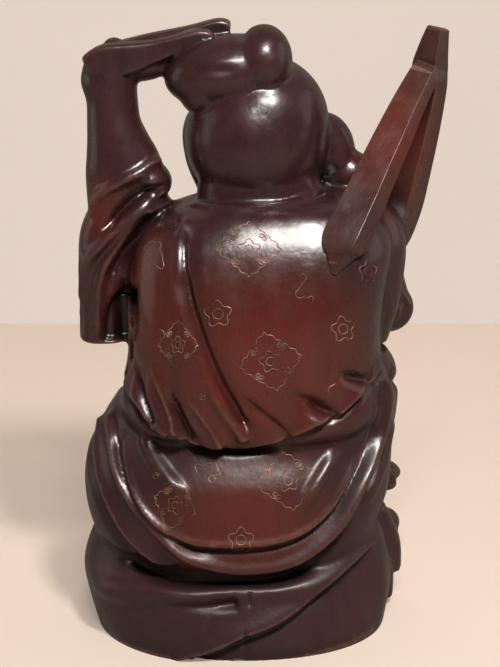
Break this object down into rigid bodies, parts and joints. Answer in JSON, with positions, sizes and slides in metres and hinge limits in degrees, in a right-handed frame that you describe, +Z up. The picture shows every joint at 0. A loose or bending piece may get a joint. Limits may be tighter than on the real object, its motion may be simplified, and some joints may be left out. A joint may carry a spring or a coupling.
{
  "type": "carved wooden monk figurine",
  "caption": "Dark hardwood carving of a seated monk in a folded robe, one arm raised to an ingot on the head and a forked piece over the shoulder.",
  "frame": {"origin": "centre of the mound's flat underside", "axes": "+Z up along the height, +Y the way the figure faces, +X to the right as one looks at its back"},
  "size_m": [0.1468, 0.1098, 0.2473],
  "materials": {
    "dark_rosewood": "polished dark reddish brown, worn brighter on the raised parts"
  },
  "bodies": {
    "root": {"carving": "dark_rosewood"}
  },
  "joints": []
}
